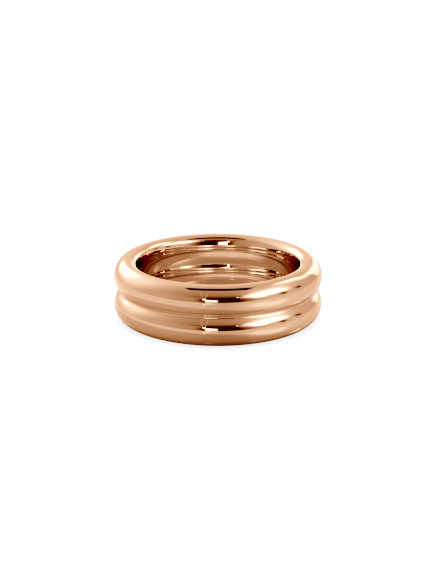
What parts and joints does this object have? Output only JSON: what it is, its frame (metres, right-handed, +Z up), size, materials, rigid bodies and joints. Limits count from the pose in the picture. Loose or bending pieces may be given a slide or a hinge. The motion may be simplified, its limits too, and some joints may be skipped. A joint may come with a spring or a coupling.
{
  "type": "double ring",
  "caption": "Polished rose gold double ring: equal rounded bands fused side by side, a groove between them outside and inside, with shallow comfort-fit domes against the finger.",
  "frame": {"origin": "centre of the ring on the surface it rests on, below the middle of the finger hole", "axes": "+Z up along the ring's axis; the ring is the same all round, so +X and +Y are free"},
  "size_m": [0.0224, 0.0224, 0.0065],
  "materials": {
    "rose_gold": "mirror-polished rose gold with very fine polishing marks"
  },
  "bodies": {
    "root": {"double_band": "rose_gold"}
  },
  "joints": []
}
